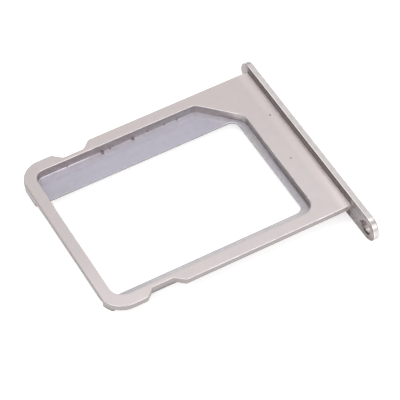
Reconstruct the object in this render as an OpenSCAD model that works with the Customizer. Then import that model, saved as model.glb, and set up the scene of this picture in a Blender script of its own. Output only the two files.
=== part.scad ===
// SIM card tray: the one-piece metal drawer that carries a micro card into the side of a phone.
// Millimetres. X runs from the leading end, which goes into the phone first, to the face plate,
// Y runs across the tray and Z is up, with the card pocket open upwards.
// The origin is under the middle of the tray, level with the lowest edge of the face plate.

/* [Card] */
// Length of the card, along the tray
card_length = 15; // [13:0.1:18]
// Width of the card, across the tray
card_width = 12; // [10.5:0.1:15]
// Leg of the card's cut corner
card_cut = 2.5; // [1.5:0.1:3.5]
// Play between the card and each wall of its pocket
card_play = 0.1; // [0:0.01:0.3]
// Depth of the pocket below the tray's top face
pocket_depth = 0.75; // [0.55:0.01:1.2]

/* [Pocket corners] */
// Radius of the pocket corner at the leading end, on the far side
corner_lead_far = 0.55; // [0.2:0.05:1.2]
// Radius of the pocket corner at the leading end, on the near side
corner_lead_near = 1; // [0.2:0.05:1.2]
// Radius of the pocket corner by the face plate, on the near side
corner_plate_near = 0.75; // [0.2:0.05:1.2]
// Radius that eases both ends of the cut corner
corner_cut_ease = 0.8; // [0.2:0.05:1.2]

/* [Ledge] */
// Thickness of the ledge that the card lies on
ledge_thickness = 0.2; // [0.15:0.01:0.5]
// Width of the ledge along the far wall
ledge_far = 2; // [1:0.05:3]
// Width of the ledge along the near wall
ledge_near = 0.8; // [0.4:0.05:1.5]
// Width of the ledge along the wall by the face plate
ledge_plate = 0.45; // [0.3:0.05:1]
// Width of the ledge's short end at the leading wall, where the channel meets the window
ledge_lead = 0.25; // [0.1:0.05:0.6]
// Radius of the window's corners in the ledge
window_radius = 0.55; // [0.2:0.05:0.9]

/* [Tray] */
// Width of the rim round the pocket, at both sides and at the leading end
rim_width = 0.9; // [0.75:0.05:1.5]
// Thickness of the thin upper layer, which alone forms the side flanges and the leading rail
flange_thickness = 0.4; // [0.25:0.01:0.6]
// How far the flanges stand out past the lower part of the tray, on each side
flange_reach = 0.63; // [0.3:0.01:0.7]
// Radius of the tray's two leading corners
nose_radius = 1.7; // [1:0.05:2.5]
// Chamfer along the lower edges of the tray
under_chamfer = 0.25; // [0.05:0.01:0.3]
// Length of solid metal between the pocket and the face plate
web_length = 2.2; // [1:0.05:4]

/* [Contact channel] */
// Distance from the pocket's near wall to the channel under the leading rail
channel_near = 0.35; // [0.2:0.05:0.75]

/* [Detent notches] */
// Distance from the leading end to the middle of each notch
notch_place = 4.225; // [3.6:0.025:9]
// Width of a notch at the tray's edge
notch_mouth = 2.85; // [2.3:0.05:3.6]
// Width of a notch at its floor
notch_floor = 1.55; // [0.8:0.05:2]
// Radius that eases the corners of a notch
notch_ease = 0.25; // [0.1:0.05:0.4]

/* [Face plate] */
// Height of the face plate, which has round ends
plate_height = 2; // [1.6:0.05:3]
// Thickness of the face plate
plate_thickness = 0.5; // [0.4:0.05:1]
// Height of the plate's upper edge above the tray's top face
plate_rise = 0.57; // [0.3:0.01:0.9]
// How far the plate stands out past the far side of the tray
plate_far_reach = 0.9; // [0.2:0.05:3]
// How far the plate stands out past the near side of the tray, where the pin hole is
plate_near_reach = 2.85; // [2.2:0.05:4]
// Radius that rounds the outer edge of the plate
plate_outer_round = 0.3; // [0.1:0.01:0.35]
// Radius that breaks the inner edge of the plate
plate_inner_round = 0.06; // [0.02:0.01:0.1]
// Radius of the fillet where the tray's top face meets the plate
foot_fillet = 0.12; // [0.05:0.01:0.25]

/* [Pin hole] */
// Diameter of the hole that the release pin goes through
pin_hole = 1.1; // [0.7:0.05:1.3]
// Chamfer that leads the pin into the hole, on the outer face
pin_lead = 0.08; // [0.02:0.01:0.15]

/* [Hidden] */
$fn = 64;

// How far a cut runs past the surface that it opens
past = 1;
// How far the small webs that round a corner lap over the corner itself
lap = 0.05;
// How deep the tray and its fillet are rooted in the face plate
root = 0.1;

// Places along the tray, from the middle of the pocket
pocket_x = card_length / 2 + card_play;
pocket_y = card_width / 2 + card_play;
nose_x = -pocket_x - rim_width;
plate_x = pocket_x + web_length;
side_y = pocket_y + rim_width;
lower_y = side_y - flange_reach;
notch_x = nose_x + notch_place;
// A wall set back by the play all round moves the cut corner by less than it moves the walls
pocket_cut = card_cut + card_play * (2 - sqrt(2));

// Heights, from the tray's top face down
tray_thickness = pocket_depth + ledge_thickness;
plate_mid_z = plate_rise - plate_height / 2;
plate_end_r = plate_height / 2;

// Middles of the plate's two round ends
plate_far_y = side_y + plate_far_reach - plate_end_r;
plate_near_y = -side_y - plate_near_reach + plate_end_r;

// Middle of the whole tray, and its lowest edge
middle_x = (nose_x + plate_x + plate_thickness) / 2;
middle_y = (plate_near_y + plate_far_y) / 2;
lowest_z = min(plate_mid_z - plate_end_r, -tray_thickness);

// Direction from one point to another
function towards(a, b) = (b - a) / norm(b - a);

// Positive where an outline that runs a, b, c turns left
function turn(a, b, c) = (b.x - a.x) * (c.y - b.y) - (b.y - a.y) * (c.x - b.x);

// The scrap between a sharp corner and the arc that rounds it, lapping a little over the corner
module corner_web(before, corner, after, radius) {
    u = towards(corner, before);
    v = towards(corner, after);
    inward = (u + v) / norm(u + v);
    half_angle = acos(u * v) / 2;
    reach = radius / tan(half_angle);
    centre = corner + inward * radius / sin(half_angle);
    difference() {
        polygon([corner + u * reach, corner - inward * lap, corner + v * reach, centre]);
        translate(centre) circle(r = radius);
    }
}

// Outline through corners [x, y, radius], listed anticlockwise, each rounded by a true arc
module rounded_outline(corners) {
    count = len(corners);
    points = [for (c = corners) [c.x, c.y]];
    difference() {
        union() {
            polygon(points);
            round_corners(corners, points, count, -1);
        }
        round_corners(corners, points, count, 1);
    }
}

// The webs of all corners that turn one way: 1 is outward, -1 is inward
module round_corners(corners, points, count, way) {
    for (i = [0 : count - 1]) {
        before = points[(i + count - 1) % count];
        after = points[(i + 1) % count];
        if (corners[i].z > 0 && way * turn(before, points[i], after) > 0)
            corner_web(before, points[i], after, corners[i].z);
    }
}

// Corners of the notch on one side, in the order of an anticlockwise outline
function notch_corners(side) = [
    for (at = [[side, notch_mouth, side_y], [side, notch_floor, lower_y],
               [-side, notch_floor, lower_y], [-side, notch_mouth, side_y]])
        [notch_x + at[0] * at[1] / 2, side * at[2], notch_ease]
];

// The tray seen from above, without its pocket
module tray_plan() {
    rounded_outline(concat(
        [[plate_x + root, -side_y, 0], [plate_x + root, side_y, 0]],
        notch_corners(1),
        [[nose_x, side_y, nose_radius], [nose_x, -side_y, nose_radius]],
        notch_corners(-1)
    ));
}

// The tray seen from the leading end: thin flanges over a narrower lower part with chamfered edges
module tray_end_section() {
    step_z = -flange_thickness;
    edge_z = -tray_thickness + under_chamfer;
    foot_y = lower_y - under_chamfer;
    half = [[side_y + past, 0], [side_y + past, step_z], [lower_y, step_z],
            [lower_y, edge_z], [foot_y, -tray_thickness]];
    last = len(half) - 1;
    polygon(concat(half, [for (i = [last : -1 : 0]) [-half[i].x, half[i].y]]));
}

// The tray seen from the side, with the chamfer under the leading edge
module tray_side_section() {
    polygon([
        [nose_x, 0],
        [nose_x, -tray_thickness + under_chamfer],
        [nose_x + under_chamfer, -tray_thickness],
        [plate_x + root, -tray_thickness],
        [plate_x + root, 0]
    ]);
}

// The tray before it is hollowed: what the three views have in common
module tray_blank() {
    intersection() {
        translate([0, 0, -tray_thickness]) linear_extrude(tray_thickness) tray_plan();
        translate([nose_x - past, 0, 0]) rotate([90, 0, 90])
            linear_extrude(plate_x + root - nose_x + past) tray_end_section();
        translate([0, side_y + past, 0]) rotate([90, 0, 0])
            linear_extrude(2 * (side_y + past)) tray_side_section();
    }
}

// The pocket that the card drops into, with the cut corner that allows it one way round only
module card_pocket() {
    translate([0, 0, -pocket_depth]) linear_extrude(pocket_depth + past) rounded_outline([
        [pocket_x, -pocket_y, corner_plate_near],
        [pocket_x, pocket_y - pocket_cut, corner_cut_ease],
        [pocket_x - pocket_cut, pocket_y, corner_cut_ease],
        [-pocket_x, pocket_y, corner_lead_far],
        [-pocket_x, -pocket_y, corner_lead_near]
    ]);
}

// The window through the ledge, where the phone's contacts reach the card
module contact_window() {
    left = -pocket_x + ledge_lead;
    right = pocket_x - ledge_plate;
    low = -pocket_y + ledge_near;
    high = pocket_y - ledge_far;
    translate([0, 0, -tray_thickness - past]) linear_extrude(tray_thickness + past) rounded_outline([
        [left, low, 0],
        [right, low, window_radius],
        [right, high, window_radius],
        [left, high, 0]
    ]);
}

// The channel under the leading rail, which lets the tray slide over the raised contacts
module contact_channel() {
    low = -pocket_y + channel_near;
    high = pocket_y - ledge_far;
    end_x = -pocket_x + ledge_lead;
    translate([nose_x - past, low, -tray_thickness - past])
        cube([end_x - nose_x + past, high - low, tray_thickness + past - flange_thickness]);
}

// Section across the plate, from its middle or from its lower edge up to its upper edge:
// the inner edge is only broken, and the outer edge is well rounded
module plate_section(from_y, from_inner, from_outer) {
    rounded_outline([
        [from_y, 0, from_inner],
        [plate_end_r, 0, plate_inner_round],
        [plate_end_r, plate_thickness, plate_outer_round],
        [from_y, plate_thickness, from_outer]
    ]);
}

// The face plate that closes the slot in the phone's side: a straight bar with two turned ends
module face_plate() {
    span = plate_far_y - plate_near_y;
    translate([plate_x, 0, plate_mid_z]) rotate([0, 90, 0]) {
        translate([0, plate_far_y, 0]) rotate([90, 0, 0]) linear_extrude(span)
            plate_section(-plate_end_r, plate_inner_round, plate_outer_round);
        translate([0, plate_far_y, 0]) rotate_extrude(angle = 180) plate_section(0, 0, 0);
        translate([0, plate_near_y, 0]) rotate([0, 0, 180])
            rotate_extrude(angle = 180) plate_section(0, 0, 0);
    }
}

// The hole for the release pin, in the middle of the plate's near end
module release_hole() {
    mouth = plate_x + plate_thickness;
    translate([0, plate_near_y, plate_mid_z]) {
        translate([plate_x - past, 0, 0]) rotate([0, 90, 0])
            cylinder(h = plate_thickness + 2 * past, d = pin_hole);
        translate([mouth - pin_lead, 0, 0]) rotate([0, 90, 0])
            cylinder(h = 2 * pin_lead, d1 = pin_hole, d2 = pin_hole + 4 * pin_lead);
    }
}

// The fillet in the corner between the tray's top face and the plate
module plate_foot() {
    translate([0, side_y, 0]) rotate([90, 0, 0]) linear_extrude(2 * side_y)
        corner_web([plate_x - 1, 0], [plate_x, 0], [plate_x, 1], foot_fillet);
}

// The whole tray, moulded in one piece
module sim_tray() {
    color([0.82, 0.79, 0.78]) translate([-middle_x, -middle_y, -lowest_z]) difference() {
        union() {
            tray_blank();
            face_plate();
            plate_foot();
        }
        card_pocket();
        contact_window();
        contact_channel();
        release_hole();
    }
}

sim_tray();
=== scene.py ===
import math

import bpy
import numpy as np
from mathutils import Matrix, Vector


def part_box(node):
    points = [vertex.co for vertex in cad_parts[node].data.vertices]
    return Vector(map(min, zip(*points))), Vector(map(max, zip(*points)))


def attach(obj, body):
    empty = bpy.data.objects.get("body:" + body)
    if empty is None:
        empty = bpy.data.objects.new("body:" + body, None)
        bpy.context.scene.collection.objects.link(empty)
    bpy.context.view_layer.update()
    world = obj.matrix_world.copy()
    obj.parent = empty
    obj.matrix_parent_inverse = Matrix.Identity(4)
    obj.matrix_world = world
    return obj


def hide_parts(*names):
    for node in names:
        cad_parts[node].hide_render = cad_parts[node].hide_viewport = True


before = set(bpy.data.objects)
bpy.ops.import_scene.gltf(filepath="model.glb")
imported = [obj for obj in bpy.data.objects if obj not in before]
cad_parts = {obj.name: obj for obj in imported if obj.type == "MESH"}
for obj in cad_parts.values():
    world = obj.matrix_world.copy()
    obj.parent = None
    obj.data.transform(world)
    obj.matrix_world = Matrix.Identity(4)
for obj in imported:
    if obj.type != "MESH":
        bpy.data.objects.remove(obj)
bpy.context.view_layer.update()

bpy.context.scene.view_settings.view_transform = "Standard"

# The camera looks down on the tray from in front and a little from its leading end, through a long
# lens, so the tray hardly tapers. It is set by where the middle of the card pocket, on the tray's
# top face, falls in the picture and by the scale there.
MM = 0.001
VIEW_TURN = math.radians(-28.11)
VIEW_RISE = math.radians(50.63)
VIEW_ROLL = math.radians(-1.46)
VIEW_DISTANCE = 154.5
PICTURE_SIDE = 400
PIXELS_PER_MM = 14.814
POCKET_PIXEL = (173.15, 191.40)
SENSOR_WIDTH = 36
# Nearer than this, in metres, the camera sees nothing
CLIP_START = 0.01
# Where the nose of the solid tray, the near end of its plate and the plate's upper edge lie, in
# millimetres from the middle of the pocket
NOSE_X = -8.5
PLATE_NEAR_Y = -9.85
PLATE_TOP_Z = 0.57

low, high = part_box("sim_tray")
pocket_middle = np.array([low.x - NOSE_X * MM, low.y - PLATE_NEAR_Y * MM, high.z - PLATE_TOP_Z * MM])

level = np.array([math.cos(VIEW_TURN), math.sin(VIEW_TURN), 0])
back = np.array([math.sin(VIEW_TURN) * math.cos(VIEW_RISE),
                 -math.cos(VIEW_TURN) * math.cos(VIEW_RISE), math.sin(VIEW_RISE)])
upright = np.cross(back, level)
right = math.cos(VIEW_ROLL) * level + math.sin(VIEW_ROLL) * upright
up = math.cos(VIEW_ROLL) * upright - math.sin(VIEW_ROLL) * level
aside = (PICTURE_SIDE / 2 - POCKET_PIXEL[0]) / PIXELS_PER_MM
above = (POCKET_PIXEL[1] - PICTURE_SIDE / 2) / PIXELS_PER_MM
camera_place = pocket_middle + (aside * right + above * up + VIEW_DISTANCE * back) * MM

camera_data = bpy.data.cameras.new("camera")
camera_data.sensor_width = SENSOR_WIDTH
camera_data.lens = PIXELS_PER_MM * VIEW_DISTANCE / PICTURE_SIDE * SENSOR_WIDTH
camera_data.clip_start = CLIP_START
camera = bpy.data.objects.new("camera", camera_data)
camera.matrix_world = Matrix.Translation(camera_place) @ Matrix(np.stack([right, up, back], 1)).to_4x4()
bpy.context.scene.collection.objects.link(camera)
bpy.context.scene.camera = camera

# The studio is a white room with seven soft boxes round the tray: a wide one behind it on the
# right, which its top face mirrors, four overhead and beside it, which draw light lines along its
# edges, and one low on the right and one in front, which light the plate and the near sides.
ROOM_LIGHT = 0.40
# How far each soft box stands from the tray, in metres, then its direction from there, its side in
# metres and its brightness
BOX_DISTANCE = 0.34
SOFT_BOXES = {"back_box": ((0.45, 0.35, 0.82), 0.44, 0.55),
              "top_box": ((0.28, 0.03, 0.95), 0.11, 1.70),
              "sky_box": ((-0.15, 0.11, 0.98), 0.14, 1.70),
              "left_box": ((-0.32, 0.56, 0.77), 0.13, 1.60),
              "nose_box": ((-0.68, -0.42, 0.61), 0.20, 1.60),
              "side_box": ((0.85, 0.50, 0.20), 0.20, 0.60),
              "front_box": ((0.30, -0.80, 0.52), 0.22, 1.60)}


def linear(hex_colour):
    """An sRGB colour written as #RRGGBB, as linear light with an alpha of 1."""
    srgb = np.array([int(hex_colour[i:i + 2], 16) for i in (1, 3, 5)]) / 255
    light = np.where(srgb <= 0.04045, srgb / 12.92, ((srgb + 0.055) / 1.055) ** 2.4)
    return (*light, 1.0)


room = bpy.data.worlds.new("room")
room.use_nodes = True
room.node_tree.nodes["Background"].inputs["Strength"].default_value = ROOM_LIGHT
room.node_tree.nodes["Background"].inputs["Color"].default_value = linear("#FFFFFF")
bpy.context.scene.world = room

for name, (direction, side, brightness) in SOFT_BOXES.items():
    lamp_data = bpy.data.lights.new(name, "AREA")
    lamp_data.size = side
    # The power at which a flat box of this size shines with this brightness
    lamp_data.energy = brightness * math.pi * side ** 2
    lamp = bpy.data.objects.new(name, lamp_data)
    towards = np.array(direction) / np.linalg.norm(direction)
    across = np.cross((0, 0, 1), towards)
    across /= np.linalg.norm(across)
    axes = np.stack([across, np.cross(towards, across), towards], 1)
    lamp_place = pocket_middle + towards * BOX_DISTANCE
    lamp.matrix_world = Matrix.Translation(lamp_place) @ Matrix(axes).to_4x4()
    bpy.context.scene.collection.objects.link(lamp)

# The tray lies on a wide sheet of matt white card. It adds a little light of its own to what the
# camera and the metal see of it, so that it comes out white where it is lit and keeps the tray's
# shadow.
# Half of its side, in metres
FLOOR_HALF = 1.5
FLOOR_COLOUR = "#F2F2F2"
FLOOR_GLOW = 0.58


def add_node(tree, kind, sockets=None, **settings):
    """Adds a node, makes its settings, and fills each of its sockets with a value or a link."""
    node = tree.nodes.new(kind)
    for name, value in settings.items():
        setattr(node, name, value)
    for socket, value in (sockets or {}).items():
        if isinstance(value, bpy.types.NodeSocket):
            tree.links.new(value, node.inputs[socket])
        else:
            node.inputs[socket].default_value = value
    return node


white_card = bpy.data.materials.new("white_card")
white_card.use_nodes = True
tree = white_card.node_tree
tree.nodes.clear()
path = add_node(tree, "ShaderNodeLightPath")
seen = 0.0
for ray in ("Is Camera Ray", "Is Glossy Ray", "Is Transmission Ray"):
    seen = add_node(tree, "ShaderNodeMath", {0: seen, 1: path.outputs[ray]},
                    operation="MAXIMUM").outputs[0]
glow = add_node(tree, "ShaderNodeMath", {0: seen, 1: FLOOR_GLOW}, operation="MULTIPLY")
matt = add_node(tree, "ShaderNodeBsdfDiffuse", {"Color": linear(FLOOR_COLOUR)})
shine = add_node(tree, "ShaderNodeEmission", {"Strength": glow.outputs[0]})
both = add_node(tree, "ShaderNodeAddShader", {0: matt.outputs[0], 1: shine.outputs[0]})
add_node(tree, "ShaderNodeOutputMaterial", {"Surface": both.outputs[0]})

floor_mesh = bpy.data.meshes.new("floor")
corners = np.array([(-1, -1, 0), (1, -1, 0), (1, 1, 0), (-1, 1, 0)]) * FLOOR_HALF
floor_mesh.from_pydata(corners.tolist(), [], [(0, 1, 2, 3)])
floor_mesh.materials.append(white_card)
floor = bpy.data.objects.new("floor", floor_mesh)
bpy.context.scene.collection.objects.link(floor)

# The tray's frame is steel powder moulded and sintered in one piece with its plate: a thin upper
# layer whose sides slide in the phone, over a narrower lower layer, round a pocket for the card.
# Sizes are in millimetres from the middle of the pocket, on the top face.
PLATE_X, LEAD_X = 9.8, -8.45
SIDE_Y, LOWER_Y = 7.0, 6.42
THICKNESS, UNDER_CHAMFER = 0.95, 0.25
# The flange gets a little thicker over this last length before the near side, and the leading rail
# over the channel is thinner
FLANGE, NEAR_FLANGE, FLANGE_CHANGE, LEAD_RAIL = 0.44, 0.48, 0.4, 0.3
NOSE_RADIUS = 1.7
NOTCH_X, NOTCH_MOUTH, NOTCH_FLOOR, NOTCH_EASE = -4.275, 2.85, 1.55, 0.25
POCKET_X, POCKET_LEAD_X, POCKET_Y, POCKET_DEPTH = 7.6, -7.53, 6.1, 0.75
# Both legs of the cut corner, and the radii of the pocket's corners, from the near one by the plate
# on to the two at the cut, the far one at the nose and the near one there
POCKET_CUT = 2.56
POCKET_RADII = 1.0, 1.3, 0.8, 0.78, 1.0
WINDOW_LEFT, WINDOW_RIGHT, WINDOW_NEAR, WINDOW_FAR = -7.30, 7.13, -5.27, 4.04
WINDOW_RADIUS = 0.55
CHANNEL_NEAR, CHANNEL_FAR = -5.75, 4.04
# The tray's end is rooted this deep in the plate
ROOT = 0.1
# The lower layer is set back this much from the upper one where no flange stands out
PARTING_STEP = 0.012
# Rounding of the edges: outer and pocket edges of the top face, the flange's lower edge, at most
# this share of its overhang, and the window's edges
OUTER_ROUND, POCKET_ROUND = 0.07, 0.06
FLANGE_ROUND, FLANGE_ROUND_SHARE = 0.04, 0.3
WINDOW_ROUND = 0.07
# The pocket's edge at the nose is worn rounder. The wear fades out this far from the pocket's
# leading wall, over this length, and ends before the far corner.
NOSE_ROUND, WEAR_REACH, WEAR_FADE, WEAR_END_Y = 0.13, 0.25, 0.06, 3.9
# The edges of the chamfer under the sides are eased this far into the flats beside it, and this far
# into its own slope
EASE_FLAT, EASE_SLOPE = 0.02, 0.03
# The fillet at the foot of the pocket's wall is small, and larger on the nose's side of this place
FOOT_FILLET, FOOT_FILLET_MORE, FOOT_CHANGE_X, FOOT_CHANGE_FADE = 0.015, 0.04, -3.2, 0.1
# Burrs at the foot of the pocket's far wall, where the tool that formed the pocket has worn: where
# each lies, how far it stands out and its width
BURRS = [(-4.96, 0.06, 0.07), (-2.27, 0.20, 0.10), (-1.66, 0.10, 0.07), (0.12, 0.16, 0.11),
         (1.30, 0.05, 0.20), (2.60, 0.07, 0.30), (3.60, 0.08, 0.15)]
# What lies this near to the far wall's plane counts as the far wall
FAR_WALL = 0.1


def cross(a, b):
    """Cross product of plane vectors."""
    return a[..., 0] * b[..., 1] - a[..., 1] * b[..., 0]


def rounded_outline(corners, inset=0.0, steps=24):
    """Closed outline through corners [x, y, radius], anticlockwise, moved inwards by inset.

    Each leg shifts along its inward normal, so a corner moves along the sum of its legs' normals
    over one plus their scalar product. Its arc has its radius, less the inset where the outline
    turns left and plus the inset where it turns right."""
    data = np.array(corners, float)
    leg = np.roll(data[:, :2], -1, 0) - data[:, :2]
    leg /= np.linalg.norm(leg, axis=1)[:, None]
    before = np.roll(leg, 1, 0)
    turn = np.sign(np.round(cross(before, leg), 9))
    normal = np.stack([-leg[:, 1], leg[:, 0]], 1)
    normal_before = np.roll(normal, 1, 0)
    alike = (normal * normal_before).sum(1)
    towards = (normal + normal_before) / (1 + alike)[:, None]
    corner = data[:, :2] + inset * towards
    radius = np.maximum(data[:, 2] - inset * turn, 0) * np.abs(turn)
    centre = corner + (turn * radius)[:, None] * towards
    start = np.arctan2(-turn * normal_before[:, 1], -turn * normal_before[:, 0])
    swing = turn * np.arccos(np.clip(alike, -1, 1))
    angle = start[:, None] + np.outer(swing, np.linspace(0, 1, steps + 1))
    arc = np.stack([np.cos(angle), np.sin(angle)], -1) * radius[:, None, None]
    return (centre[:, None] + arc).reshape(-1, 2)


def notch(side):
    """Corners of the notch on one side, in the order of an anticlockwise outline."""
    return [(NOTCH_X + side * NOTCH_MOUTH / 2, side * SIDE_Y, NOTCH_EASE),
            (NOTCH_X + side * NOTCH_FLOOR / 2, side * LOWER_Y, NOTCH_EASE),
            (NOTCH_X - side * NOTCH_FLOOR / 2, side * LOWER_Y, NOTCH_EASE),
            (NOTCH_X - side * NOTCH_MOUTH / 2, side * SIDE_Y, NOTCH_EASE)]


def upper_outline(inset):
    """Outline of the thin upper layer, with its two notches."""
    end = [(PLATE_X + ROOT, -SIDE_Y, 0), (PLATE_X + ROOT, SIDE_Y, 0)]
    nose = [(LEAD_X, SIDE_Y, NOSE_RADIUS), (LEAD_X, -SIDE_Y, NOSE_RADIUS)]
    return rounded_outline([*end, *notch(1), *nose, *notch(-1)], inset)


def lower_outline(inset):
    """The upper outline cut off at both sides where the flanges begin."""
    outline = upper_outline(inset + PARTING_STEP)
    outline[:, 1] = np.clip(outline[:, 1], inset - LOWER_Y, LOWER_Y - inset)
    return outline


def pocket_outline(inset):
    """Outline of the card pocket, with the card's cut corner."""
    places = [(POCKET_X, -POCKET_Y), (POCKET_X, POCKET_Y - POCKET_CUT), (POCKET_X - POCKET_CUT, POCKET_Y),
              (POCKET_LEAD_X, POCKET_Y), (POCKET_LEAD_X, -POCKET_Y)]
    return rounded_outline([(*place, radius) for place, radius in zip(places, POCKET_RADII)], inset)


def window_outline(inset):
    """Outline of the window in the pocket's floor."""
    return rounded_outline([(WINDOW_LEFT, WINDOW_NEAR, 0), (WINDOW_RIGHT, WINDOW_NEAR, WINDOW_RADIUS),
                            (WINDOW_RIGHT, WINDOW_FAR, WINDOW_RADIUS), (WINDOW_LEFT, WINDOW_FAR, 0)], inset)


# The frame's surface is a grid: ribs stand round the outlines, and each carries the same section.
# They stand closer where x is past FINE_X to either side or before FINE_LEAD_X, if y is past FINE_Y.
RIB_SPACING, FINE_SPACING = 0.12, 0.045
FINE_X, FINE_LEAD_X, FINE_Y = 6.3, -2.6, 3.5
LEG_SAMPLES = 60
# Each rib starts at the nearest point of a rectangle that lies just inside the window
START_X, START_Y = (-7.25, 6.6), (-5.2, 3.97)
# Steps round the edges of the top face, the flange's lower edge, and the other edges
TOP_STEPS, FLANGE_STEPS, LOW_STEPS = 5, 2, 3


def rib_targets():
    """Points along the upper outline, close together round the corners and the notches.

    The outline is measured by its length times the number of ribs per millimetre there, and cut into
    equal shares. The channel's two ends each get two ribs, one on either side of its end wall."""
    outline = upper_outline(0)
    outline = np.concatenate([outline, outline[:1]])
    share = np.linspace(0, 1, LEG_SAMPLES)[None, :, None]
    dense = (outline[:-1, None] * (1 - share) + outline[1:, None] * share).reshape(-1, 2)
    length = np.linalg.norm(np.diff(dense, axis=0), axis=1)
    x, y = dense[1:].T
    fine = ((np.abs(x) > FINE_X) | (x < FINE_LEAD_X)) & (np.abs(y) > FINE_Y)
    count = np.concatenate([[0], np.cumsum(length / np.where(fine, FINE_SPACING, RIB_SPACING))])
    steps = np.linspace(0, count[-1], int(count[-1]), endpoint=False)
    targets = np.stack([np.interp(steps, count, dense[:, axis]) for axis in (0, 1)], 1)
    ends = []
    for end_y in (CHANNEL_FAR, CHANNEL_NEAR):
        end = np.array([LEAD_X, end_y])
        nearest = int(np.linalg.norm(targets - end, axis=1).argmin())
        targets[nearest] = end
        ends.append(nearest)
    targets = np.insert(targets, ends, targets[ends], axis=0)
    in_channel = np.zeros(len(targets), bool)
    in_channel[ends[0] + 1:ends[1] + 2] = True
    return targets, in_channel


targets, in_channel = rib_targets()
feet = np.stack([np.clip(targets[:, 0], *START_X), np.clip(targets[:, 1], *START_Y)], 1)
aims = targets - feet
aims /= np.linalg.norm(aims, axis=1)[:, None]


def where_ribs_meet(outline):
    """The point where each rib, a line from its foot along its aim, first meets a closed outline.

    With the leg from a to b, foot + t * aim = a + s * (b - a) gives t and s as ratios of cross
    products, and a meeting has s from 0 to 1, give or take a rounding error."""
    parallel, slack = 1e-12, 1e-6
    leg = (np.roll(outline, -1, 0) - outline)[None]
    gap = outline[None] - feet[:, None]
    across = cross(aims[:, None], leg)
    across = np.where(np.abs(across) < parallel, parallel, across)
    along_rib = cross(gap, leg) / across
    along_leg = cross(gap, aims[:, None]) / across
    meets = (along_leg > -slack) & (along_leg < 1 + slack) & (along_rib > 0)
    return feet + aims * np.where(meets, along_rib, np.inf).min(1)[:, None]


def wall_and_step(outline_of, probe=0.02):
    """Where the ribs meet an outline, and how far that point moves for each millimetre of inset."""
    wall = where_ribs_meet(outline_of(0))
    return wall, (where_ribs_meet(outline_of(probe)) - wall) / probe


def quarter_round(steps):
    """Unit inset and drop along a quarter round, from the face that it leaves to the wall."""
    angle = np.linspace(0, math.pi / 2, steps + 1)
    return list(zip(1 - np.sin(angle), 1 - np.cos(angle)))


def row(plan, step, inset, height):
    """One row of the section: the outline moved inwards by inset, at a height."""
    inset, height = inset * np.ones(len(plan)), height * np.ones(len(plan))
    return np.concatenate([plan + inset[:, None] * step, height[:, None]], 1)


upper, upper_step = wall_and_step(upper_outline)
lower, lower_step = wall_and_step(lower_outline)
pocket, pocket_step = wall_and_step(pocket_outline)
window, window_step = wall_and_step(window_outline)

at_x, at_y = pocket.T
overhang = np.linalg.norm(upper - lower, axis=1)
flange_round = np.minimum(FLANGE_ROUND, FLANGE_ROUND_SHARE * overhang)
flange = np.interp(-upper[:, 1], (LOWER_Y - FLANGE_CHANGE, LOWER_Y), (FLANGE, NEAR_FLANGE))
flange = np.where(in_channel, LEAD_RAIL, flange)
worn = (at_y < WEAR_END_Y) / (1 + np.exp((at_x - POCKET_LEAD_X - WEAR_REACH) / WEAR_FADE))
inner_round = POCKET_ROUND + (NOSE_ROUND - POCKET_ROUND) * worn
foot_fillet = FOOT_FILLET + FOOT_FILLET_MORE / (1 + np.exp((at_x - FOOT_CHANGE_X) / FOOT_CHANGE_FADE))
for burr_x, reach, width in BURRS:
    foot_fillet += (at_y > POCKET_Y - FAR_WALL) * reach * np.exp(-((at_x - burr_x) / width) ** 2)

section = [row(upper, upper_step, OUTER_ROUND * i, -OUTER_ROUND * d) for i, d in quarter_round(TOP_STEPS)]
# A row at the height of the leading rail's lower edge, where the walls at the channel's ends begin
section += [row(upper, upper_step, 0, flange_round - LEAD_RAIL)]
section += [row(upper, upper_step, flange_round * d, flange_round * i - flange)
            for i, d in quarter_round(FLANGE_STEPS)]
flange_row = len(section) - 1
chamfer_z = UNDER_CHAMFER - THICKNESS
section += [row(lower, lower_step, inset, height) for inset, height in
            ((0, -flange), (0, chamfer_z + EASE_FLAT), (EASE_SLOPE, chamfer_z - EASE_SLOPE),
             (UNDER_CHAMFER - EASE_SLOPE, EASE_SLOPE - THICKNESS),
             (UNDER_CHAMFER + EASE_FLAT, -THICKNESS))]
under_row = len(section) - 1
section += [row(window, window_step, -WINDOW_ROUND * i, -THICKNESS + WINDOW_ROUND * d)
            for i, d in quarter_round(LOW_STEPS)]
section += [row(window, window_step, -WINDOW_ROUND * d, -POCKET_DEPTH - WINDOW_ROUND * i)
            for i, d in quarter_round(LOW_STEPS)]
section += [row(pocket, pocket_step, foot_fillet * i, -POCKET_DEPTH + foot_fillet * d)
            for i, d in quarter_round(LOW_STEPS)]
wall_row = len(section)
section += [row(pocket, pocket_step, 0, -LEAD_RAIL)]
section += [row(pocket, pocket_step, -inner_round * d, -inner_round * i)
            for i, d in quarter_round(TOP_STEPS)]

# Over the channel only the upper layer is left, so the rows of the lower one lie flat along its
# underside, from the flange's lower edge to the pocket's wall
for number in range(flange_row, wall_row + 1):
    share = (number - flange_row) / (wall_row - flange_row)
    underside = section[flange_row] * (1 - share) + section[wall_row] * share
    section[number] = np.where(in_channel[:, None], underside, section[number])


def new_metal(name):
    """A new metal, and where a point of the tray lies, in millimetres from the middle of the pocket:
    the metal, its nodes, the place as a vector and as x, y and z."""
    metal = bpy.data.materials.new(name)
    metal.use_nodes = True
    tree = metal.node_tree
    tree.nodes["Principled BSDF"].inputs["Metallic"].default_value = 1.0
    place = add_node(tree, "ShaderNodeTexCoord").outputs["Object"]
    place = add_node(tree, "ShaderNodeVectorMath", {0: place, 1: tuple(pocket_middle)},
                     operation="SUBTRACT").outputs[0]
    place = add_node(tree, "ShaderNodeVectorMath", {0: place, "Scale": 1 / MM},
                     operation="SCALE").outputs[0]
    return metal, tree, place, *add_node(tree, "ShaderNodeSeparateXYZ", {0: place}).outputs


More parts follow.
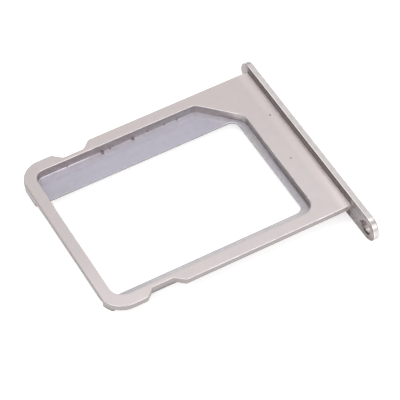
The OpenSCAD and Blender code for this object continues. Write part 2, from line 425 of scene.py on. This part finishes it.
def zone(tree, *limits, most=1.0):
    """How far a point lies in a zone: the product of a ramp for each (value, start, end), which goes
    from 0 at its start to 1 at its end, times the most."""
    share = most
    for value, start, end in limits:
        share = add_node(tree, "ShaderNodeMapRange", {"Value": value, "From Min": start, "From Max": end,
                                                      "To Max": share}).outputs[0]
    return share


def tinted(tree, colour, tint, *limits, most=1.0):
    """A colour that goes over to a tint as far as a zone says. Both are hex values or sockets."""
    colour, tint = (linear(value) if isinstance(value, str) else value for value in (colour, tint))
    mix = {0: zone(tree, *limits, most=most), 6: colour, 7: tint}
    return add_node(tree, "ShaderNodeMix", mix, data_type="RGBA").outputs[2]


def patches(tree, place, size, least=0.0, most=1.0, start=0.35, end=0.65):
    """Soft patches of a size in millimetres: noise, which gives the least up to its start, the most
    from its end on, and what lies even between."""
    noise = add_node(tree, "ShaderNodeTexNoise", {"Vector": place, "Scale": 1 / size, "Detail": 2.0})
    spread = {"From Min": start, "From Max": end, "To Min": least, "To Max": most}
    return add_node(tree, "ShaderNodeMapRange", {"Value": noise.outputs[0], **spread}).outputs[0]


def spots(tree, place, centres_and_sizes):
    """1 in the middle of spots of a size in millimetres round the centres, fading to 0 at their edge."""
    near = 0.0
    for centre, size in centres_and_sizes:
        away = add_node(tree, "ShaderNodeVectorMath", {0: place, 1: centre}, operation="DISTANCE")
        spot = zone(tree, (away.outputs["Value"], size, 0.5 * size))
        near = add_node(tree, "ShaderNodeMath", {0: near, 1: spot}, operation="MAXIMUM").outputs[0]
    return near


def cover(tree, colour, roughness, place, grain_size, grain_depth):
    """Gives a metal its colour, its roughness and a grain of a size and a depth in millimetres."""
    surface = tree.nodes["Principled BSDF"].inputs
    grain = add_node(tree, "ShaderNodeTexNoise", {"Vector": place, "Scale": 1 / grain_size, "Detail": 2.0})
    bump = add_node(tree, "ShaderNodeBump", {"Strength": 1.0, "Distance": grain_depth * MM,
                                             "Height": grain.outputs[0]})
    for value, socket in ((colour, "Base Color"), (roughness, "Roughness"), (bump.outputs[0], "Normal")):
        tree.links.new(value, surface[socket])


# The top faces and the flanges are blasted with fine glass beads, which leaves a pale, warm, silky
# steel that shines the same from all sides. Handling has mottled it faintly in pink and grey and has
# left two small pits. Painted light makes it paler towards the near side and the near corner, most of
# all in a wedge along the plate. The grain of the blast, 0.02 mm in the real part, is drawn coarser so
# that it shows. Each pit has its middle and its size.
PITS = [((9.13, 2.66, 0), 0.09), ((8.39, -1.43, 0), 0.08)]
# Width of the worn wedge at its two ends, and where those lie
WEDGE_FAR, WEDGE_NEAR, WEDGE_FAR_Y, WEDGE_NEAR_Y = 0.03, 0.62, 6.5, -7.0
blasted_steel, tree, place, x, y, z = new_metal("bead_blasted_steel")
diagonal = add_node(tree, "ShaderNodeMath", {0: x, 1: y}, operation="ADD").outputs[0]
wedge = add_node(tree, "ShaderNodeMapRange", {"Value": y, "From Min": WEDGE_FAR_Y, "From Max": WEDGE_NEAR_Y,
                                              "To Min": WEDGE_FAR, "To Max": WEDGE_NEAR}).outputs[0]
into_wedge = add_node(tree, "ShaderNodeMath", {0: x, 1: wedge}, operation="ADD").outputs[0]
# Paler to the near side as painted light, duller at the nose, mottled, and with painted light in the wedge
# and the near corner
colour = tinted(tree, "#D2C8C7", "#D8CFCF", (y, 4.0, -3.0))
colour = tinted(tree, colour, "#C9BEC1", (x, -6.0, -8.0), most=0.4)
colour = tinted(tree, colour, "#CBCAC7", most=patches(tree, place, 0.9, most=0.30))
colour = tinted(tree, colour, "#DCCBCB", most=patches(tree, place, 0.5, most=0.35, start=0.5, end=0.7))
colour = tinted(tree, colour, "#E6DCDC", (into_wedge, PLATE_X - 0.1, PLATE_X + 0.1))
colour = tinted(tree, colour, "#EDE3E3", (diagonal, -9.5, -13.0), most=0.28)
# Painted highlight on the upper edges, and painted shade down the nose, the sides and the lower layer
colour = tinted(tree, colour, "#F8F3F3", (z, -0.003, -0.015), most=patches(tree, place, 0.6, least=0.3))
colour = tinted(tree, colour, "#B5AEAD", (x, LEAD_X + 0.12, LEAD_X + 0.05))
colour = tinted(tree, colour, "#A49E9D", (z, -0.035, -0.055))
colour = tinted(tree, colour, "#8C8685", (z, -0.40, -0.50))
# Painted light near the plate, which hides some of the light there
colour = tinted(tree, colour, "#FFF1F0", (x, PLATE_X - 1.0, PLATE_X - 0.3), most=0.4)
colour = tinted(tree, colour, "#FFF6F5", (x, PLATE_X - 0.35, PLATE_X - 0.12))
colour = tinted(tree, colour, "#857875", most=spots(tree, place, PITS))
roughness = patches(tree, place, 0.3, least=0.36, most=0.44)
cover(tree, colour, roughness, place, grain_size=0.13, grain_depth=0.006)

# The pocket, its ledge and the underside are out of the blast and stay as the furnace left them: a
# bluish grey on the flat of the ledge, a warmer one on the walls and on the inner face of the plate,
# all of them darker than the top partly through painted shade, with brown scale round the burrs at
# the foot of the far wall and a dark patch beside the pin's hole.
PLATE_R = 1.0
PLATE_MID_Z = PLATE_TOP_Z - PLATE_R
HOLE_Y = PLATE_NEAR_Y + PLATE_R
# A dark patch beside the hole: its middle and its size
DARK_PATCH = [((PLATE_X, HOLE_Y + 0.60, PLATE_MID_Z - 0.02), 0.2)]
# What lies up to this far above the ledge has the colour of its flat: more on the large fillet at
# the nose, less on the small one
FLAT_LEAD, FLAT_REST = 0.06, 0.015
# The scale lies this far beside and above a burr's foot, has this size and grows with the burr. Its
# edge is crooked, in waves of this size and depth.
SCALE_ASIDE, SCALE_ABOVE, SCALE_SIZE, SCALE_GROWTH = 0.08, 0.17, 0.07, 0.6
WAVE_SIZE, WAVE_DEPTH = 1 / 9, 0.16
sintered_steel, tree, place, x, y, z = new_metal("sintered_steel")
diagonal = add_node(tree, "ShaderNodeMath", {0: x, 1: y}, operation="ADD").outputs[0]
# At the cut wall, x and y add up to this
cut = POCKET_X + POCKET_Y - POCKET_CUT
# The walls, whose colours hold painted shade: warmer at the nose, the cut one paler with painted
# shade at its foot near the plate, and the one by the plate darker with painted shade
cut_wall = tinted(tree, "#B4ACAB", "#8E8786", (x, 6.2, 6.9), (z, -0.25, -0.6))
colour = tinted(tree, "#AEA29F", "#AFA9A9", (x, -4.0, 4.0))
colour = tinted(tree, colour, cut_wall, (diagonal, cut - 0.1, cut - 0.05))
colour = tinted(tree, colour, "#8F8687", (x, POCKET_X - 0.06, POCKET_X - 0.02))
colour = tinted(tree, colour, "#7E7371", most=patches(tree, place, 0.22, most=0.45, start=0.5, end=0.7))
# The ledge: from the near side to the far one, then at the nose
flat = tinted(tree, "#D6D2D3", "#CFCAD1", (y, -5.6, -5.0))
flat = tinted(tree, flat, "#CECECC", (y, -0.5, 1.5))
flat = tinted(tree, flat, "#C4C1CE", (y, 3.9, 4.1))
flat = tinted(tree, flat, "#B7B6BC", (x, -3.0, -7.0), most=0.5)
# Brighter within this reach of a wall, which hides some of the light there
for way, wall, reach, tint in ((y, POCKET_Y, 1.4, "#D0CDDA"), (diagonal, cut, 1.6, "#D6D3DE"),
                               (y, POCKET_Y, 0.6, "#F4F1FB"), (x, POCKET_X, 0.45, "#E6E2E8"),
                               (diagonal, cut, 0.9, "#EFEDF4")):
    flat = tinted(tree, flat, tint, (way, wall - reach, wall - 0.05))
# Painted shade along the near half of the wall by the plate, and on the window's edge
flat = tinted(tree, flat, "#BAB6BA", (x, POCKET_X - 0.10, POCKET_X - 0.05), (y, 1.0, -1.0))
flat = tinted(tree, flat, "#8E8A8D", (z, -0.79, -0.84))
flat_top = add_node(tree, "ShaderNodeMapRange", {"Value": x, "From Min": -3.4, "From Max": -3.0,
                                                 "To Min": FLAT_LEAD, "To Max": FLAT_REST}).outputs[0]
above_flat = add_node(tree, "ShaderNodeMath", {0: z, 1: flat_top}, operation="SUBTRACT").outputs[0]
on_ledge = (above_flat, 0.01 - POCKET_DEPTH, -0.005 - POCKET_DEPTH)
colour = tinted(tree, colour, flat, on_ledge)
colour = tinted(tree, colour, "#C6C3C6", most=patches(tree, place, 0.7, most=0.25))
# The plate's inner face: browner at its near end, shaded low down by the hole, dark above the tray with
# painted shade, pale past its far side, and mottled. It lies behind the fillet, which is darkened by
# painted shade.
on_plate = tinted(tree, "#A29B9B", "#A1958F", (y, -9.2, -9.45))
on_plate = tinted(tree, on_plate, "#978F8E", (y, -7.6, -8.6), (z, -0.15, -0.7))
on_plate = tinted(tree, on_plate, "#736968", (y, -7.05, -6.85))
on_plate = tinted(tree, on_plate, "#AAA2A2", (y, SIDE_Y - 0.15, SIDE_Y + 0.05))
on_plate = tinted(tree, on_plate, "#6B5F5D", most=patches(tree, place, 0.25, most=0.5, start=0.5, end=0.7))
colour = tinted(tree, colour, "#857A78", (x, PLATE_X - 0.4, PLATE_X - 0.3))
colour = tinted(tree, colour, on_plate, (x, PLATE_X - 0.012, PLATE_X - 0.004))
colour = tinted(tree, colour, "#5E5452", most=spots(tree, place, DARK_PATCH))
waves = add_node(tree, "ShaderNodeTexNoise", {"Vector": place, "Scale": 1 / WAVE_SIZE}).outputs["Color"]
crooked = add_node(tree, "ShaderNodeVectorMath", {0: waves, 1: (WAVE_DEPTH,) * 3, 2: place},
                   operation="MULTIPLY_ADD").outputs[0]
scale = [((burr_x + SCALE_ASIDE, POCKET_Y + SCALE_ASIDE - reach / 2, SCALE_ABOVE - POCKET_DEPTH),
          SCALE_SIZE + SCALE_GROWTH * reach) for burr_x, reach, width in BURRS]
colour = tinted(tree, colour, "#8C7F7C", most=spots(tree, crooked, scale))
# Rougher on the flat of the ledge than on the walls
rougher = zone(tree, on_ledge, (y, POCKET_Y - 0.01, POCKET_Y - 0.08), most=0.16)
roughness = patches(tree, place, 0.35, least=0.38, most=0.46)
roughness = add_node(tree, "ShaderNodeMath", {0: roughness, 1: rougher}, operation="ADD").outputs[0]
cover(tree, colour, roughness, place, grain_size=0.16, grain_depth=0.006)

finishes = [blasted_steel, sintered_steel]
BLASTED, SINTERED, TUMBLED = range(3)


def closed_grid(name, rows, finish_of_row):
    """Mesh of a grid of points in millimetres, closed both ways: row by row round the section and
    rib by rib round the part. The faces between a row and the next have that row's finish.

    Points that share a place are merged, a corner that repeats the next one is dropped, and a face
    needs three corners, so none has zero size."""
    points = np.stack(rows)
    index = np.arange(points.shape[0] * points.shape[1]).reshape(points.shape[:2])
    below, beside = np.roll(index, -1, 0), np.roll(index, -1, 1)
    quads = np.stack([index, below, np.roll(below, -1, 1), beside], -1).reshape(-1, 4)
    points = points.reshape(-1, 3)
    _, first, same = np.unique(np.round(points, 5), axis=0, return_index=True, return_inverse=True)
    quads = same.reshape(-1)[quads]
    own = quads != np.roll(quads, -1, 1)
    whole = own.sum(1) > 2
    faces = np.split(quads[whole][own[whole]], np.cumsum(own[whole].sum(1))[:-1])
    mesh = bpy.data.meshes.new(name)
    mesh.from_pydata((points[first] * MM + pocket_middle).tolist(), [], faces)
    for metal in finishes:
        mesh.materials.append(metal)
    mesh.polygons.foreach_set("material_index", np.repeat(finish_of_row, index.shape[1])[whole])
    made = bpy.data.objects.new(name, mesh)
    bpy.context.scene.collection.objects.link(made)
    return made


finish_of_row = np.full(len(section), BLASTED)
finish_of_row[under_row:wall_row + 1] = SINTERED
tray = closed_grid("card_tray", section, finish_of_row)

# The plate closes the slot in the phone's side. It is a bar with round ends, moulded with the frame,
# rounded on its outer face, and the release pin goes through a hole in its near end.
PLATE_THICKNESS = 0.5
PLATE_FAR_Y = 6.894
HOLE_R, HOLE_EASE, HOLE_LEAD = 0.53, 0.015, 0.08
INNER_ROUND, OUTER_FACE_ROUND = 0.06, 0.13
# Directions of rays from the hole to the straight stretches of its edge, in degrees, steps along the
# rest of each stretch and round each end, then steps round its inner edges and its outer one
RAYS = np.arange(3, 72, 3)
STRAIGHT_STEPS, END_STEPS = 47, 60
INNER_STEPS, OUTER_STEPS = 4, 8

# The plate is what shows on the phone, so it is tumbled with small stones until it is smoother than
# the tray, with a neutral colour and a soft gloss on its round edge. Its inner edge has a painted
# highlight, its near end has painted shade low down, and the hole has painted shade deep inside and on
# its far side.
tumbled_steel, tree, place, x, y, z = new_metal("tumbled_steel")
beside = add_node(tree, "ShaderNodeVectorMath", {0: place, 1: (0, 1, 1)}, operation="MULTIPLY").outputs[0]
from_pin = add_node(tree, "ShaderNodeVectorMath", {0: beside, 1: (0, HOLE_Y, PLATE_MID_Z)},
                    operation="DISTANCE").outputs["Value"]
in_hole = (from_pin, HOLE_R + 0.05, HOLE_R + 0.03)
colour = tinted(tree, "#DAD3D2", "#CEC9C7", most=patches(tree, place, 0.6))
# Painted highlight along the inner edge
colour = tinted(tree, colour, "#F6EFEF", (x, PLATE_X + 0.12, PLATE_X + 0.06))
# Painted shade low on the near end
colour = tinted(tree, colour, "#A19D9C", (z, -0.4, -0.9), (y, -9.0, -9.5))
# Painted shade deep in the hole and on its far side
colour = tinted(tree, colour, "#655C5A", in_hole, (x, PLATE_X + 0.19, PLATE_X + 0.11))
colour = tinted(tree, colour, "#857B79", in_hole, (y, HOLE_Y + 0.15, HOLE_Y + 0.40))
roughness = patches(tree, place, 0.25, least=0.30, most=0.38)
cover(tree, colour, roughness, place, grain_size=0.2, grain_depth=0.004)
finishes.append(tumbled_steel)
tray.data.materials.append(tumbled_steel)


def plate_rim():
    """Points round the plate's edge and their inward normals, clockwise as seen from outside.

    The round ends are half circles. On the straight stretches between them, points lie where rays
    from the hole at equal angles meet them, and at equal distances from the last ray on."""
    length = PLATE_FAR_Y - HOLE_Y
    rays = np.tan(np.radians(RAYS))
    straight = np.concatenate([rays, np.linspace(rays[-1], length, STRAIGHT_STEPS + 1)[1:-1]])
    half = np.linspace(-math.pi / 2, math.pi / 2, END_STEPS + 1)
    near = np.stack([HOLE_Y - PLATE_R * np.cos(half), PLATE_R * np.sin(half)], 1)
    top = np.stack([HOLE_Y + straight, np.full(len(straight), PLATE_R)], 1)
    far = np.stack([PLATE_FAR_Y + PLATE_R * np.cos(half), -PLATE_R * np.sin(half)], 1)
    edge = np.concatenate([near, top, far, (top * (1, -1))[::-1]])
    middle = np.stack([np.clip(edge[:, 0], HOLE_Y, PLATE_FAR_Y), np.zeros(len(edge))], 1)
    return edge, middle - edge


edge, inward = plate_rim()
from_hole = edge - (HOLE_Y, 0)
from_hole /= np.linalg.norm(from_hole, axis=1)[:, None]


def plate_row(inset, depth, at_hole=False):
    """One row of the plate's section: the edge moved inwards, or a circle round the hole, at a depth
    from the plate's inner face."""
    plan = (HOLE_Y, 0) + from_hole * (HOLE_R + inset) if at_hole else edge + inward * inset
    return np.stack([np.full(len(plan), PLATE_X + depth), plan[:, 0], plan[:, 1] + PLATE_MID_Z], 1)


plate_section = [plate_row(inset, PLATE_THICKNESS - depth, at_hole=True)
                 for inset, depth in ((HOLE_LEAD, 0), (0, HOLE_LEAD))]
plate_section += [plate_row(HOLE_EASE * d, HOLE_EASE * i, at_hole=True)
                  for i, d in quarter_round(INNER_STEPS)]
inner_row = len(plate_section) - 1
plate_section += [plate_row(INNER_ROUND * i, INNER_ROUND * d) for i, d in quarter_round(INNER_STEPS)]
outer_edge_row = len(plate_section) - 2
plate_section += [plate_row(OUTER_FACE_ROUND * d, PLATE_THICKNESS - OUTER_FACE_ROUND * i)
                  for i, d in quarter_round(OUTER_STEPS)]
finish_of_row = np.full(len(plate_section), TUMBLED)
finish_of_row[inner_row:outer_edge_row] = SINTERED
plate = closed_grid("plate", plate_section, finish_of_row)

# The mould leaves a hollow fillet round the tray's root on the plate, small on top and larger at
# the sides. It follows the outline of the tray's end, in which y and z are the coordinates.
FOOT_TOP, FOOT_SIDE = 0.03, 0.26
# It reaches its full size this far below the top face
FOOT_GROWTH = 0.35
FOOT_SUNK = 0.03
# Its skin lies this much deeper than its outline, so that it dips into the tray and the plate
FOOT_DIP = 0.002
FOOT_ARC_STEPS = 8
half_end = [(LOWER_Y - UNDER_CHAMFER, -THICKNESS, FLANGE_ROUND),
            (LOWER_Y, UNDER_CHAMFER - THICKNESS, FLANGE_ROUND),
            (LOWER_Y, -FLANGE, 0), (SIDE_Y, -FLANGE, FLANGE_ROUND), (SIDE_Y, 0, OUTER_ROUND)]
end_corners = half_end + [(-y, z, radius) for y, z, radius in half_end[::-1]]
end_outline = rounded_outline(end_corners, 0, FOOT_ARC_STEPS)
end_outwards = rounded_outline(end_corners, -1, FOOT_ARC_STEPS) - end_outline
sideways = np.clip(end_outwards[:, 0], -1, 1) ** 2 * np.clip(-end_outline[:, 1] / FOOT_GROWTH, 0, 1)
foot_size = FOOT_TOP + (FOOT_SIDE - FOOT_TOP) * sideways


def foot_row(back_off, outwards):
    """One row of the fillet: the end's outline grown outwards, set back from the plate."""
    plan = end_outline + end_outwards * (outwards * np.ones(len(end_outline)))[:, None]
    return np.concatenate([(PLATE_X - back_off * np.ones(len(plan)))[:, None], plan], 1)


foot_section = [foot_row(foot_size, -FOOT_SUNK), foot_row(-ROOT, -FOOT_SUNK), foot_row(-ROOT, foot_size)]
foot_section += [foot_row(foot_size * i, foot_size * d - FOOT_DIP)
                 for i, d in quarter_round(FOOT_ARC_STEPS)[::-1]]
foot = closed_grid("foot_fillet", foot_section, np.full(len(foot_section), SINTERED))

# Frame, plate and fillet come out of the mould as one piece of metal, so the three closed forms
# become one skin, with one smooth shade round its roundings and flat faces kept flat.
SMOOTH_WITHIN = math.radians(40)
# More faces than meet at any vertex
MOST_FACES = 12


def keep_flats_flat(mesh):
    """Gives each corner the mean normal of those faces round its vertex that turn by less than the
    smoothing angle from its own, weighted by area, so a flat face stays flat up to its edges.

    The corners are sorted by vertex, and each is compared with those up to MOST_FACES away."""
    sides, area, normal = (np.zeros(len(mesh.polygons) * n, kind) for n, kind in
                           ((1, np.int32), (1, np.float32), (3, np.float32)))
    mesh.polygons.foreach_get("loop_total", sides)
    mesh.polygons.foreach_get("area", area)
    mesh.polygons.foreach_get("normal", normal)
    normal = normal.reshape(-1, 3).astype(float)
    vertex = np.zeros(len(mesh.loops), np.int32)
    mesh.loops.foreach_get("vertex_index", vertex)
    order = np.argsort(vertex, kind="stable")
    face, vertex = np.repeat(np.arange(len(sides)), sides)[order], vertex[order]
    total = np.zeros((len(face), 3))
    for shift in range(-MOST_FACES, MOST_FACES + 1):
        other = np.roll(face, shift)
        alike = (normal[face] * normal[other]).sum(1) > math.cos(SMOOTH_WITHIN)
        alike &= np.roll(vertex, shift) == vertex
        total += normal[other] * (area[other] * alike)[:, None]
    total /= np.linalg.norm(total, axis=1)[:, None]
    corner_normals = np.zeros_like(total)
    corner_normals[order] = total
    mesh.normals_split_custom_set(corner_normals.tolist())


for form in (plate, foot):
    union = tray.modifiers.new("union", "BOOLEAN")
    union.operation = "UNION"
    union.solver = "EXACT"
    union.object = form
joined = bpy.data.meshes.new_from_object(tray.evaluated_get(bpy.context.evaluated_depsgraph_get()))
tray.modifiers.clear()
tray.data = joined
for form in (plate, foot):
    bpy.data.objects.remove(form)
joined.name = "card_tray"
joined.shade_smooth()
joined.set_sharp_from_angle(angle=SMOOTH_WITHIN)
keep_flats_flat(joined)
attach(tray, "root")
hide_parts("sim_tray")
